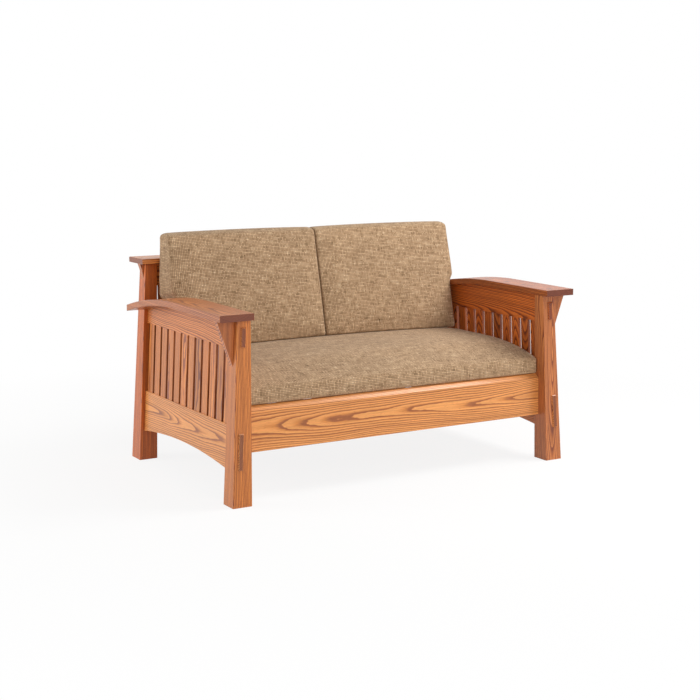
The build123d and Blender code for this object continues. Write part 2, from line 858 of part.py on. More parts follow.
with BuildPart() as back_cushion:
    for share in section_shares:
        sole_z = sole_middle_z - sole_tilt * share / 2
        head_z = back_head_height - back_head_fall * share**2
        swell = back_face_swell * (1 - back_swell_fall_share * share**2)
        sole_front = (back_sole_front, sole_z + sole_fall / 2)
        sole_rear = (back_rear, sole_z - sole_fall / 2)
        head_rear = (back_head_rear, head_z)
        head_front = (back_head_front, head_z)
        head_crest = ((back_head_rear + back_head_front) / 2, head_z + back_crown)
        face_y = (back_sole_front + back_head_front) / 2 - swell
        face_z = (sole_z + head_z) / 2
        with BuildSketch(Plane.YZ.offset(-back_middle_x - share * back_half)) as back_section:
            with BuildLine():
                Polyline(sole_front, sole_rear, head_rear)
                ThreePointArc(head_rear, head_crest, head_front)
                ThreePointArc(head_front, (face_y, face_z), sole_front)
            make_face()
            fillet(back_section.vertices().sort_by(Axis.Y)[:2], radius=back_sole_corner)
            fillet(back_section.vertices().sort_by(Axis.Y)[-2:], radius=back_corner)
    loft()
    back_ends = back_cushion.faces().sort_by(Axis.X)[0].edges()
    fillet(back_ends + back_cushion.faces().sort_by(Axis.X)[-1].edges(), radius=back_end_corner)
save_pair(back_cushion, "back_cushion")
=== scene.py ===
# %% [markdown]
# # A slatted loveseat, dressed for its picture
#
# A loveseat of this kind is joined from oak boards and carries three loose cushions. The boards
# arrive here finished: posts, arms, rails and slats are flat and straight or cut to an arc, so a
# CAD kernel draws them exactly, and they stay as they are. What is left for Blender is what a
# board or a cushion looks like: oak figure, lacquer, woven cloth and stuffing.
#
# The first cell loads that model. Each wood piece is an object named after its part, and each
# cushion has a plain solid, which a sewn one replaces further down.

# %% Load the frame
import math

import bpy
import numpy as np
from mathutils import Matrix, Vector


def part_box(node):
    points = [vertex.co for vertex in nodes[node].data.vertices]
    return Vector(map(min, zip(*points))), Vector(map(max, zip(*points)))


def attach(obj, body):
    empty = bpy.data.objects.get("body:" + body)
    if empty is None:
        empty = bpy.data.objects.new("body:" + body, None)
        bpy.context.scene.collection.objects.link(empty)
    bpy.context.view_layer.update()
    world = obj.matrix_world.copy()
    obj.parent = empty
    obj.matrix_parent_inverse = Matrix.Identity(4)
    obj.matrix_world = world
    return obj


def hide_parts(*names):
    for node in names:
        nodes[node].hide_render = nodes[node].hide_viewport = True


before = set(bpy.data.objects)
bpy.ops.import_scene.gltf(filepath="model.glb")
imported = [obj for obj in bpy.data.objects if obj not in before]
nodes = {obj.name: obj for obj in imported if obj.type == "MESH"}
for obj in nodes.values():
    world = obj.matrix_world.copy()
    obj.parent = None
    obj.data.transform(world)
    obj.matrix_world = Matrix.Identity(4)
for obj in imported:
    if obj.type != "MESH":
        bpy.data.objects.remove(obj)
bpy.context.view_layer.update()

collection = bpy.context.scene.collection
print("parts in the frame:", len(nodes))

# %% [markdown]
# ## Where the camera stands
#
# The picture is taken from the left, a little above the arms, with a long lens. A long lens
# matters: it keeps the far arm nearly as large as the near one. The place, the turn and the
# focal length come from fitting the straight edges of the wood, so nothing is judged by eye.

# %% Camera
PICTURE_PIXELS = 700
FOCAL_PIXELS = 1403.93
SENSOR_MM = 36.0
CAMERA_PLACE = (-2.8876, -4.8718, 1.3689)
DEGREES_DOWN = 9.234
DEGREES_RIGHT = 30.86

camera_data = bpy.data.cameras.new("camera")
camera_data.sensor_width = SENSOR_MM
camera_data.lens = FOCAL_PIXELS / PICTURE_PIXELS * SENSOR_MM
camera_data.clip_end = 100.0
camera = bpy.data.objects.new("camera", camera_data)
camera.location = CAMERA_PLACE
camera.rotation_euler = (math.radians(90 - DEGREES_DOWN), 0.0, math.radians(-DEGREES_RIGHT))
collection.objects.link(camera)
bpy.context.scene.camera = camera
print("focal length in mm:", round(camera_data.lens, 1))

# %% [markdown]
# ## Two helpers for materials
#
# Colours are written as hex codes, the way a paint card gives them. Blender mixes light in
# linear values, so one function turns a code into them.
#
# A material is a small network of nodes. The second function adds one node: it sets the node's
# properties, fills its sockets in order with numbers or with the outputs of other nodes, and
# gives back one output. A recipe then reads from top to bottom like a formula.

# %% Colour and node helpers
MILLIMETRE = 0.001


def paint(code):
    """Linear RGBA of an sRGB hex code: c / 12.92 near black, else ((c + 0.055) / 1.055) ^ 2.4."""
    channel = np.array([int(code[i : i + 2], 16) for i in (1, 3, 5)]) / 255
    linear = np.where(channel <= 0.04045, channel / 12.92, ((channel + 0.055) / 1.055) ** 2.4)
    return (*linear.tolist(), 1.0)


def add_node(tree, kind, *inputs, out=0, named=None, stops=(), **properties):
    """Adds one node, sets its properties and inputs, and returns one of its outputs.

    Inputs go to the sockets in order, and None leaves a socket as it is. Those in named go by
    the socket's name or number. stops are (position, hex code) pairs for a colour ramp.
    """
    node = tree.nodes.new("ShaderNode" + kind)
    for name, value in properties.items():
        setattr(node, name, value)
    for key, value in [*enumerate(inputs), *(named or {}).items()]:
        if isinstance(value, bpy.types.NodeSocket):
            tree.links.new(value, node.inputs[key])
        elif value is not None:
            node.inputs[key].default_value = value
    for number, (position, code) in enumerate(stops):
        band = node.color_ramp.elements
        stop = band[number] if number < len(band) else band.new(position)
        stop.position, stop.color = position, paint(code)
    return node.outputs[out] if len(node.outputs) else node


def new_material(name):
    """A new material and its empty node tree."""
    material = bpy.data.materials.new(name)
    material.use_nodes = True
    material.node_tree.nodes.clear()
    return material, material.node_tree


print("a honey brown in linear values:", [round(v, 3) for v in paint("#C8803F")])

# %% [markdown]
# ## Red oak, flat sawn, stained and lacquered
#
# A board sawn tangent to the tree's rings shows long pointed arches, the cathedral figure. It
# needs no painting. Take cylinders about a pith that lies a few centimetres off the face and
# leans a little, bend them as a real trunk bends, and cut them with the board: the arches are
# there, fine straight lines run beside them, and every face of the piece agrees with the next.
#
# Oak is ring porous. Each ring starts with a band of open pores, which soak up the stain and
# turn dark, and ends in dense wood, which stays light. So the colour is a ramp over how far into
# its ring a point lies. Short dark dashes along the grain are the pores themselves. Real ones
# are about 0.3 mm wide; here they are near 1 mm, because finer ones would not show.
#
# Where a board is cut across, the end grain drinks more stain and is nearly plum brown. The
# surface normal tells the material which kind of cut it is on. The lacquer is a thin satin
# coat over all of it.

# %% Oak stain and lacquer
OAK_TONES = {
    # name: (late wood, middle, pore band, end grain, also used as painted shade on the slats' sides
    # in the gaps)
    "honey": ("#E59C58", "#D48745", "#9C5B34", "#6E3A2C"),
    "amber": ("#D98740", "#C47034", "#8A4726", "#6A3628"),
    "russet": ("#C67A45", "#B06434", "#814228", "#622F24"),
    "cherry": ("#B4622A", "#9B4C1E", "#672E15", "#5A2A1F"),
    "chestnut": ("#DA752E", "#C05F24", "#7E391A", "#5E2C20"),
}
MID_GREY = (0.5, 0.5, 0.5)

# Paces are counts of noise cells per metre: along the grain, across the face and into the board.
LONG_BENDS = (1.7, 4.5, 4.5)
SHORT_BENDS = (((6.0, 22.0, 22.0), 7.0), ((30.0, 110.0, 110.0), 1.6))  # pace, height in mm
PORE_PACE = (60.0, 950.0, 950.0)
STREAK_PACE = (6.0, 190.0, 190.0)

# In a row of boards the dice move each board through the tree by up to half of these metres,
# and its tone lies between these two.
BOARD_REACH = (4.0, 0.05, 0.07)
BOARD_TONES = (0.74, 1.14)

# Noise and dice pick a value between the two of each pair. The first three are factors.
BAND_WIDTHS = (0.75, 1.35)
STREAK_TONES = (0.86, 1.14)
YEAR_TONES = (0.93, 1.07)
ROUGHNESS_RANGE = (0.42, 0.34)

END_GRAIN_SHARE = 0.8
# share of the end grain colour painted on the slats' sides as the shade in their gaps
GAP_SHADE_SHARE = 0.55
PORE_SHARE = 0.6
PORE_DEPTH = 0.4 * MILLIMETRE
LACQUER_IOR = 1.5


def red_oak(name, grain, width, pith, lean=0.03, tone="honey", ring=5.2, sway=26.0, row=None):
    """Stained red oak with the grain along one axis and the face's width along another.

    A point's ring number is its distance from the pith line divided by the ring width. pith is
    the shift in millimetres, across the face and into the board, that takes the pith line to
    zero, and lean is how much the line tilts into the board per metre. sway is how far the trunk
    bends in millimetres. row is the start and pitch in metres of a row of boards, each of which
    gets its own part of the tree.
    """
    late, middle, porous, cut = OAK_TONES[tone]
    deep = ({"X", "Y", "Z"} - {grain, width}).pop()
    material, tree = new_material(name)
    place = add_node(tree, "TexCoord", out="Object")
    xyz = add_node(tree, "SeparateXYZ", place).node.outputs
    trunk = add_node(tree, "CombineXYZ", xyz[grain], xyz[width], xyz[deep])
    level = 1.0
    if row:
        start, pitch = row
        board = add_node(tree, "Math", xyz[width], start, operation="SUBTRACT")
        board = add_node(tree, "Math", board, pitch, operation="DIVIDE")
        within = add_node(tree, "Math", board, operation="FRACT")
        within = add_node(tree, "MapRange", within, 0.0, 1.0, -pitch / 2, pitch / 2)
        trunk = add_node(tree, "CombineXYZ", xyz[grain], within, xyz[deep])
        board = add_node(tree, "Math", board, operation="FLOOR")
        dice = add_node(tree, "TexWhiteNoise", None, board, out="Color", noise_dimensions="1D")
        throw = add_node(tree, "VectorMath", dice, MID_GREY, operation="SUBTRACT")
        trunk = add_node(tree, "VectorMath", throw, BOARD_REACH, trunk, operation="MULTIPLY_ADD")
        level = add_node(tree, "MapRange", dice.node.outputs["Value"], 0.0, 1.0, *BOARD_TONES)

    # the trunk bends: long slow waves, and small ones on them
    bent = trunk
    for pace, height in ((LONG_BENDS, sway), *SHORT_BENDS):
        slow = add_node(tree, "VectorMath", trunk, pace, operation="MULTIPLY")
        noise = add_node(tree, "TexNoise", slow, out="Color", named={"Scale": 1.0, "Detail": 1.0})
        noise = add_node(tree, "VectorMath", noise, MID_GREY, operation="SUBTRACT")
        shift = (0.0, height * MILLIMETRE, height * MILLIMETRE)
        bent = add_node(tree, "VectorMath", noise, shift, bent, operation="MULTIPLY_ADD")
    from_pith = (0.0, pith[0] * MILLIMETRE, pith[1] * MILLIMETRE)
    bent = add_node(tree, "Mapping", bent, from_pith, (0.0, math.atan(lean), 0.0))
    spoke = add_node(tree, "VectorMath", bent, (0.0, 1.0, 1.0), operation="MULTIPLY")
    radius = add_node(tree, "VectorMath", spoke, out="Value", operation="LENGTH")
    rings = add_node(tree, "Math", radius, ring * MILLIMETRE, operation="DIVIDE")
    into_ring = add_node(tree, "Math", rings, operation="FRACT")
    year = add_node(tree, "Math", rings, operation="FLOOR")
    year = add_node(tree, "TexWhiteNoise", None, year, out="Value", noise_dimensions="1D")

    # a dry year leaves a wide dark band, a wet one a narrow band
    growth = add_node(tree, "MapRange", year, 0.0, 1.0, *BAND_WIDTHS)
    into_ring = add_node(tree, "Math", into_ring, growth, operation="MULTIPLY")
    stops = ((0.0, middle), (0.05, porous), (0.17, porous), (0.4, middle), (0.7, late))
    colour = add_node(tree, "ValToRGB", into_ring, stops=stops)

    # pores: dashes along the grain, dense in the dark band and thin between
    fine = add_node(tree, "VectorMath", trunk, PORE_PACE, operation="MULTIPLY")
    pores = add_node(tree, "TexNoise", fine, named={"Scale": 1.0, "Detail": 2.0})
    crowd = add_node(tree, "MapRange", into_ring, 0.1, 0.5, 0.5, 0.6)
    pores = add_node(tree, "Math", pores, crowd, operation="SUBTRACT")
    pores = add_node(tree, "MapRange", pores, 0.0, 0.12, 0.0, PORE_SHARE)
    stained = {6: colour, 7: paint(porous)}
    colour = add_node(tree, "Mix", pores, out=2, named=stained, data_type="RGBA")

    # streaks of paler and darker wood, a few millimetres wide and as long as a hand
    soft = add_node(tree, "VectorMath", trunk, STREAK_PACE, operation="MULTIPLY")
    streak = add_node(tree, "TexNoise", soft, named={"Scale": 1.0, "Detail": 3.0})
    streak = add_node(tree, "MapRange", streak, 0.25, 0.75, *STREAK_TONES)
    year_tone = add_node(tree, "MapRange", year, 0.0, 1.0, *YEAR_TONES)
    streak = add_node(tree, "Math", streak, year_tone, operation="MULTIPLY")

    # dark streaks are more open and a little duller; each board of a row has its own level
    gloss = add_node(tree, "MapRange", streak, 0.8, 1.2, *ROUGHNESS_RANGE)
    streak = add_node(tree, "Math", streak, level, operation="MULTIPLY")
    grey = add_node(tree, "CombineColor", streak, streak, streak)
    toned = {6: colour, 7: grey}
    colour = add_node(tree, "Mix", 1.0, out=2, named=toned, data_type="RGBA", blend_type="MULTIPLY")

    # end grain where the surface faces along the board, and painted shade on a slat's sides, which
    # face into the gaps between the slats
    normal = add_node(tree, "TexCoord", out="Normal")
    end_grain_and_gap_shade = {grain: END_GRAIN_SHARE}
    if row:
        end_grain_and_gap_shade[width] = GAP_SHADE_SHARE
    for axis, most in end_grain_and_gap_shade.items():
        facing = add_node(tree, "SeparateXYZ", normal, out=axis)
        facing = add_node(tree, "Math", facing, operation="ABSOLUTE")
        facing = add_node(tree, "MapRange", facing, 0.6, 0.9, 0.0, most)
        end_grain_and_gap_mix = {6: colour, 7: paint(cut)}
        colour = add_node(tree, "Mix", facing, out=2, named=end_grain_and_gap_mix, data_type="RGBA")

    hollow = add_node(tree, "Math", 1.0, pores, operation="SUBTRACT")
    relief = add_node(tree, "Bump", 0.3, PORE_DEPTH, named={"Height": hollow})
    wood = {
        "Base Color": colour,
        "Roughness": gloss,
        "IOR": LACQUER_IOR,
        "Specular IOR Level": 0.3,
        "Normal": relief,
        "Coat Weight": 0.3,
        "Coat Roughness": 0.25,
        "Coat IOR": LACQUER_IOR,
    }
    surface = add_node(tree, "BsdfPrincipled", named=wood)
    add_node(tree, "OutputMaterial", surface)
    return material


print("oak tones mixed:", ", ".join(OAK_TONES))

# %% [markdown]
# ## Putting a finish on a part
#
# A part keeps its shape and only gets a new material in its slots. To place the pith of a board,
# its corners are read in millimetres, the unit on a joiner's rule.

# %% Finish and measure


def finish(names, material):
    """Puts a material in every slot of the named parts."""
    for name in names:
        piece = nodes[name]
        if not piece.material_slots:
            piece.data.materials.append(material)
        for slot in piece.material_slots:
            slot.material = material
    print(material.name, "on", len(names), "part" if len(names) == 1 else "parts")


def box_mm(name):
    """Lowest and highest corner of a part in millimetres."""
    low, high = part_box(name)
    return [v / MILLIMETRE for v in low], [v / MILLIMETRE for v in high]


print("corners of the front rail in millimetres:", *(np.round(c) for c in box_mm("front_rail")))

# %% [markdown]
# ## Rails and cap: long boards from side to side
#
# A joiner lays the grain along the longest way of a piece, because wood is strong that way. The
# front rail is the show board of the seat and is sawn nearly through the heart of the figure, so
# its pith lies only 44 mm in front of its face and the flames run the whole length. The cap board
# shows its top, so its pith lies above that face.

# %% Finish the long boards
CAP_PITH = 58  # millimetres above the cap's top

long_boards = {
    # part: (millimetres from the front face to the pith before it, lean, tone, ring width, sway)
    "front_rail": (44, 0.028, "honey", 6.2, 40),
    "rear_rail": (60, 0.03, "amber", 5.4, 26),
    "upper_back_rail": (52, 0.02, "amber", 5.2, 26),
}
for part, (before, lean, tone, ring, sway) in long_boards.items():
    low, high = box_mm(part)
    pith = (-(low[2] + high[2]) / 2, before - low[1])
    finish([part], red_oak(f"oak_{part}", "X", "Z", pith, lean, tone, ring, sway))
low, high = box_mm("cap_board")
pith = (-(low[1] + high[1]) / 2, -high[2] - CAP_PITH)
finish(["cap_board"], red_oak("oak_cap_board", "X", "Y", pith, tone="amber", ring=5.0))

# %% [markdown]
# ## Posts: straight grain on every side
#
# A good post is cut so that the rings cross it from corner to corner. Then no face shows arches,
# and all four show the same straight lines. Its pith lies well outside, off one corner. The
# right front post is sawn flat instead and shows tall arches in front.

# %% Finish the posts
# the right front post and the rear posts take darker, redder tones than the left front post: partly
# their own stain, partly painted shade from the arms and cushions
posts = {
    # part: (pith outside the post's outer and front faces in mm, lean, tone, ring width, sway)
    "front_post_left": (60, 75, 0.03, "amber", 4.8, 12),
    "front_post_right": (-45, 30, 0.1, "russet", 5.6, 14),
    "rear_post_left": (70, 60, 0.04, "chestnut", 5.0, 12),
    "rear_post_right": (60, 66, 0.04, "chestnut", 5.0, 12),
}
for part, (beside, before, lean, tone, ring, sway) in posts.items():
    low, high = box_mm(part)
    aside = beside - low[0] if part.endswith("left") else -beside - high[0]
    pith = (aside, before - low[1])
    finish([part], red_oak(f"oak_{part}", "Z", "X", pith, lean, tone, ring, sway))

# %% [markdown]
# ## Arms and side rails: grain from front to back
#
# The arm boards are bent from darker stock, so their tops look redder than the rails below. The
# right arm's tone is darker again, as painted shade on the far side.
# The upper and the lower side rail come from different boards, so each has its own pith. It lies
# off the face that looks left, which is the one the camera sees on both sides.

# %% Finish the arms and side rails
ARM_PITH = (20, 70)  # millimetres left of the board's middle and above its top

# the right arm's darker tone is partly painted shade
for side, tone in (("left", "russet"), ("right", "cherry")):
    low, high = box_mm(f"arm_{side}")
    pith = (ARM_PITH[0] - (low[0] + high[0]) / 2, -high[2] - ARM_PITH[1])
    oak = red_oak(f"oak_arm_{side}", "Y", "X", pith, tone=tone, ring=4.4, sway=14)
    finish([f"arm_{side}"], oak)

# the right-hand rails take darker tones than the left ones: partly their own stain, partly painted
# shade from the cushions and the left arm
side_rails = {
    # part: (height of the pith, its distance off the seen face, lean, tone, ring width)
    "upper_side_rail_left": (545, 52, 0.05, "amber", 5.4),
    "lower_side_rail_left": (222, 30, 0.04, "honey", 6.0),
    "upper_side_rail_right": (560, 30, 0.05, "chestnut", 5.6),
    "lower_side_rail_right": (215, 34, 0.04, "amber", 6.0),
}
for part, (height, off_face, lean, tone, ring) in side_rails.items():
    low, high = box_mm(part)
    pith = (-height, off_face - low[0])
    finish([part], red_oak(f"oak_{part}", "Y", "Z", pith, lean, tone, ring, sway=24))

# %% [markdown]
# ## Slats: many boards, one recipe
#
# The slats of a row share one material. It counts its boards along the row and throws new dice
# for each: another part of the tree, and a little lighter or darker. So no two slats match, and
# there is still only one recipe to change.

# %% Finish the slats and corbels
SLAT_RING = 4.6
SLAT_SWAY = 14
SLATS_IN_A_GROUP = 7
BACK_SLAT_PITH = 35  # millimetres in front of the slats' faces
CORBEL_PITH = (520, 60)  # millimetres before and left of the loveseat's middle

# the right row takes the redder, darker chestnut: partly its own stain, partly painted shade from
# the cushions and the left arm
for side, tone, off_face in (("left", "amber", 40), ("right", "chestnut", 25)):
    names = sorted(name for name in nodes if name.startswith("side_slat") and name.endswith(side))
    starts = sorted(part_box(name)[0].y for name in names)
    pitch = (starts[-1] - starts[0]) / (len(starts) - 1)
    gap = pitch - (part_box(names[0])[1].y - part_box(names[0])[0].y)
    row = (starts[0] - gap / 2, pitch)
    low, high = box_mm(names[0])
    pith = (0, off_face - low[0])
    oak = red_oak(f"oak_slats_{side}", "Z", "Y", pith, 0.05, tone, SLAT_RING, SLAT_SWAY, row)
    finish(names, oak)

low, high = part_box("back_slats_middle")
pitch = (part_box("back_slats_right")[0].x - low.x) / SLATS_IN_A_GROUP
slat_width = high.x - low.x - (SLATS_IN_A_GROUP - 1) * pitch
row = (low.x - (pitch - slat_width) / 2, pitch)
groups = ["back_slats_left", "back_slats_middle", "back_slats_right"]
pith = (0, BACK_SLAT_PITH - low.y / MILLIMETRE)
finish(groups, red_oak("oak_back_slats", "Z", "X", pith, 0.04, "amber", SLAT_RING, SLAT_SWAY, row))

corbels = ["front_corbel_left", "front_corbel_right", "cap_corbel_left", "cap_corbel_right"]
finish(corbels, red_oak("oak_corbels", "Z", "Y", CORBEL_PITH, 0.05, "russet", SLAT_RING, sway=12))

# %% [markdown]
# ## The hidden deck, its dowels and its screws
#
# Under the cushion lie sawn slats on cleats, of the same oak. The screws are the common zinc
# plated kind: steel with a thin pale plating that dulls to a soft grey. Full metal with a
# middling roughness says that, with a slight cloudiness from the plating bath.

# %% Finish the deck and screws
DECK_PITH = (30, -300)  # 30 mm left of the middle and 300 mm above the floor
CLOUDS_PER_METRE = 420.0

deck = ["deck_slats", "front_cleat", "rear_cleat", "centre_stretcher", "arm_dowels", "cap_dowels"]
finish(deck, red_oak("oak_deck", "Y", "X", DECK_PITH, 0.04, "honey", 4.8))


def zinc_plating(name):
    """Zinc plated steel: a pale grey metal that clouds slightly, with a dull gloss."""
    material, tree = new_material(name)
    place = add_node(tree, "TexCoord", out="Object")
    cloud = add_node(tree, "TexNoise", place, named={"Scale": CLOUDS_PER_METRE, "Detail": 2.0})
    colour = add_node(tree, "ValToRGB", cloud, stops=((0.3, "#9FA09C"), (0.7, "#C9C8C1")))
    metal = {"Base Color": colour, "Metallic": 1.0, "Roughness": 0.38}
    surface = add_node(tree, "BsdfPrincipled", named=metal)
    add_node(tree, "OutputMaterial", surface)
    return material


finish(["deck_screws", "cleat_screws"], zinc_plating("zinc_plating"))

# %% [markdown]
# ## Tweed for the covers
#
# The covers are a plain weave of thick uneven yarn. In a plain weave, warp and weft take turns
# to lie on top like the fields of a chessboard. Each yarn is spun from wool of several shades,
# so its tone drifts along its length and differs from its neighbour's. Noise does that when one
# of its coordinates is the yarn's number and the other runs slowly along the yarn. A dark
# stretch of a lying yarn then shows as a short dash.
#
# The yarn that runs below still shows through a little between the crossings, so one part in
# five of its tone is mixed in. That ties the dashes together into the fine grid of real cloth.
#
# The weave must follow the cloth, so it reads the cover's own UV map, which is in metres. A real
# yarn here is about 2 mm wide; it is drawn at 6.2 mm, since finer ones would blur to one tone.

# %% Tweed
YARN = 6.2 * MILLIMETRE
YARN_WANDER = 2.0 * MILLIMETRE
CROWN_HEIGHT = 0.8 * MILLIMETRE
BELOW_SHARE = 0.2
NEXT_YARN = 7.31  # steps through the noise from one yarn to the next: far enough to forget it
WARP_DRIFT = 0.2  # steps along a yarn for each crossing: few, so a tone lasts for some crossings
WEFT_DRIFT = 0.13
WOOLS = (
    (0.24, "#6C523A"),
    (0.36, "#9B7D5D"),
    (0.5, "#B99875"),
    (0.62, "#CCAC88"),
    (0.76, "#E6CCAA"),
)


def tweed(name):
    """Plain weave in wool: a tone that drifts along each yarn, and a crown on every crossing,
    bumped, with painted shade between the yarns and a painted highlight on the crown.

    The crown over a crossing is sine(pi * x) * sine(pi * y), with x and y as shares of a yarn.
    """
    material, tree = new_material(name)
    cloth = add_node(tree, "UVMap", uv_map="cloth")
    wander = add_node(tree, "TexNoise", cloth, out="Color", named={"Scale": 24.0, "Detail": 1.0})
    wander = add_node(tree, "VectorMath", wander, MID_GREY, operation="SUBTRACT")
    drift = (YARN_WANDER, YARN_WANDER, 0.0)
    cloth = add_node(tree, "VectorMath", wander, drift, cloth, operation="MULTIPLY_ADD")
    yarns = add_node(tree, "VectorMath", cloth, (1 / YARN, 1 / YARN, 0.0), operation="MULTIPLY")

    number = add_node(tree, "VectorMath", yarns, operation="FLOOR")
    warp_steps = (NEXT_YARN, 0.0, 0.0), (0.0, WARP_DRIFT, 0.0)
    weft_steps = (0.0, NEXT_YARN, 0.0), (WEFT_DRIFT, 0.0, 0.0)
    shades = []
    for apart, along in (warp_steps, weft_steps):
        spot = add_node(tree, "VectorMath", yarns, along, operation="MULTIPLY")
        spot = add_node(tree, "VectorMath", number, apart, spot, operation="MULTIPLY_ADD")
        shades.append(add_node(tree, "TexNoise", spot, named={"Scale": 1.0, "Detail": 2.0}))
    warp, weft = shades
    on_top = add_node(tree, "TexChecker", yarns, out="Fac", named={"Scale": 1.0})
    on_top = add_node(tree, "MapRange", on_top, 0.0, 1.0, BELOW_SHARE, 1 - BELOW_SHARE)
    shade = add_node(tree, "Mix", on_top, None, warp, weft, data_type="FLOAT")
    wool = add_node(tree, "ValToRGB", shade, stops=WOOLS)

    crown = add_node(tree, "VectorMath", yarns, operation="FRACTION")
    crown = add_node(tree, "VectorMath", crown, (math.pi,) * 3, operation="MULTIPLY")
    crown = add_node(tree, "VectorMath", crown, operation="SINE")
    crown = add_node(tree, "SeparateXYZ", crown).node.outputs
    crown = add_node(tree, "Math", crown["X"], crown["Y"], operation="MULTIPLY")

    # painted shade between the yarns and a painted highlight on the crowns, with soft patches of
    # tone as wide as a hand
    level = add_node(tree, "MapRange", crown, 0.0, 0.8, 0.44, 1.2)
    patch = add_node(tree, "TexNoise", cloth, named={"Scale": 7.0, "Detail": 2.0})
    patch = add_node(tree, "MapRange", patch, 0.3, 0.7, 0.95, 1.05)
    level = add_node(tree, "Math", level, patch, operation="MULTIPLY")
    grey = add_node(tree, "CombineColor", level, level, level)
    toned = {6: wool, 7: grey}
    wool = add_node(tree, "Mix", 1.0, out=2, named=toned, data_type="RGBA", blend_type="MULTIPLY")
    relief = add_node(tree, "Bump", 0.5, CROWN_HEIGHT, named={"Height": crown})
    cover = {
        "Base Color": wool,
        "Roughness": 0.92,
        "Normal": relief,
        "Specular IOR Level": 0.2,
        "Sheen Weight": 0.12,
        "Sheen Roughness": 0.5,
    }
    surface = add_node(tree, "BsdfPrincipled", named=cover)
    add_node(tree, "OutputMaterial", surface)
    return material


cover_cloth = tweed("wool_tweed")
print("yarns per ten centimetres as drawn:", round(100 * MILLIMETRE / YARN, 1))

# %% [markdown]
# ## A box of cloth
#
# Each cushion starts as what an upholsterer cuts: six flat panels sewn to a box. The surface is
# a lattice on a block. One step rounds it: clamp a point to a core that is smaller by the corner
# radius, then stand it off that core by the radius. The lattice is fine over the corners and
# even in between. The panels keep their flat places as UV coordinates, so the weave lies
# straight on every panel, and their shared edges are the seam lines.

# %% Rounded block of six panels
CORNER_ANGLES = [0.0, 15.0, 30.0, 45.0]
LATTICE_STEP = 0.014
WEFT_APART = 2.0  # metres between the panels on the flat cloth, so that no two overlap
WARP_APART = 3.0


def stations(half, radius):
    """Places along one side: equal angles round each corner, even steps in between."""
    corner = half - radius + radius * np.tan(np.radians(CORNER_ANGLES))
    count = max(2, int(round(2 * (half - radius) / LATTICE_STEP)))
    middle = np.linspace(-(half - radius), half - radius, count + 1)[1:-1]
    return np.concatenate([-corner[::-1], middle, corner])


def panels(half, radius):
    """Lattice points of the block, its quads, their flat places and the edge flags of each point.

    Every panel is a grid over two axes with the third held at one end. Points that panels share
    have the same lattice number, (i * ny + j) * nz + k, and are merged by it.
    """
    lines = [stations(side, radius) for side in half]
    counts = np.array([len(line) for line in lines])
    corners, flat = [], []
    for held in range(3):
        across, along = (held + 1) % 3, (held + 2) % 3
        spans = np.arange(counts[across] - 1), np.arange(counts[along] - 1)
        i, j = (grid.ravel() for grid in np.meshgrid(*spans, indexing="ij"))
        for end in (0, counts[held] - 1):
            index = np.zeros((4, len(i), 3), int)
            index[..., across] = [i, i + 1, i + 1, i]
            index[..., along] = [j, j, j + 1, j + 1]
            index[..., held] = end
            index = index if end else index[::-1]
            corners.append(index)
            first, second = ((1, 2), (0, 2), (0, 1))[held]
            weft = lines[first][index[..., first]] + WEFT_APART * held
            warp = lines[second][index[..., second]] + (WARP_APART if end else 0.0)
            flat.append(np.stack([weft, warp], axis=-1))
    index = np.concatenate(corners, axis=1).transpose(1, 0, 2).reshape(-1, 3)
    flat = np.concatenate(flat, axis=1).transpose(1, 0, 2).reshape(-1, 2)
    number = (index[:, 0] * counts[1] + index[:, 1]) * counts[2] + index[:, 2]
    _, first_use, point = np.unique(number, return_index=True, return_inverse=True)
    lattice = index[first_use]
    places = np.stack([lines[axis][lattice[:, axis]] for axis in range(3)], axis=1)
    at_end = (lattice == 0) | (lattice == counts - 1)
    return places, point.reshape(-1, 4), flat, at_end


def rounded(places, half, radius):
    """core + radius * direction, where the core is the point clamped to the smaller block."""
    limit = np.array(half) - radius
    core = np.clip(places, -limit, limit)
    outward = places - core
    return core + radius * outward / np.linalg.norm(outward, axis=1, keepdims=True)


def cover_object(name, places, quads, flat):
    """An object of smooth quads with the panels' flat places as its UV map."""
    mesh = bpy.data.meshes.new(name)
    mesh.from_pydata(places.tolist(), [], quads.tolist())
    layer = mesh.uv_layers.new(name="cloth")
    layer.data.foreach_set("uv", flat.astype(np.float32).ravel())
    mesh.polygons.foreach_set("use_smooth", np.ones(len(quads), bool))
    mesh.update()
    piece = bpy.data.objects.new(name, mesh)
    collection.objects.link(piece)
    return piece


print("lattice places along a side of 400 mm with 20 mm corners:", len(stations(0.2, 0.02)))

# %% [markdown]
# ## Stuffing
#
# A cover is cut a little small and the foam pushes it out, so it strains at its seams. Blender's
# Cloth with air pressure inside does the same. The seam lines are pinned, the pressure lifts
# what lies between, and a cap keeps every point within a few millimetres of the sewn shape, so
# that the cushion still fits its place.

# %% Cloth step
CLOTH_FRAMES = 20
FOAM_PRESSURE = 4.0


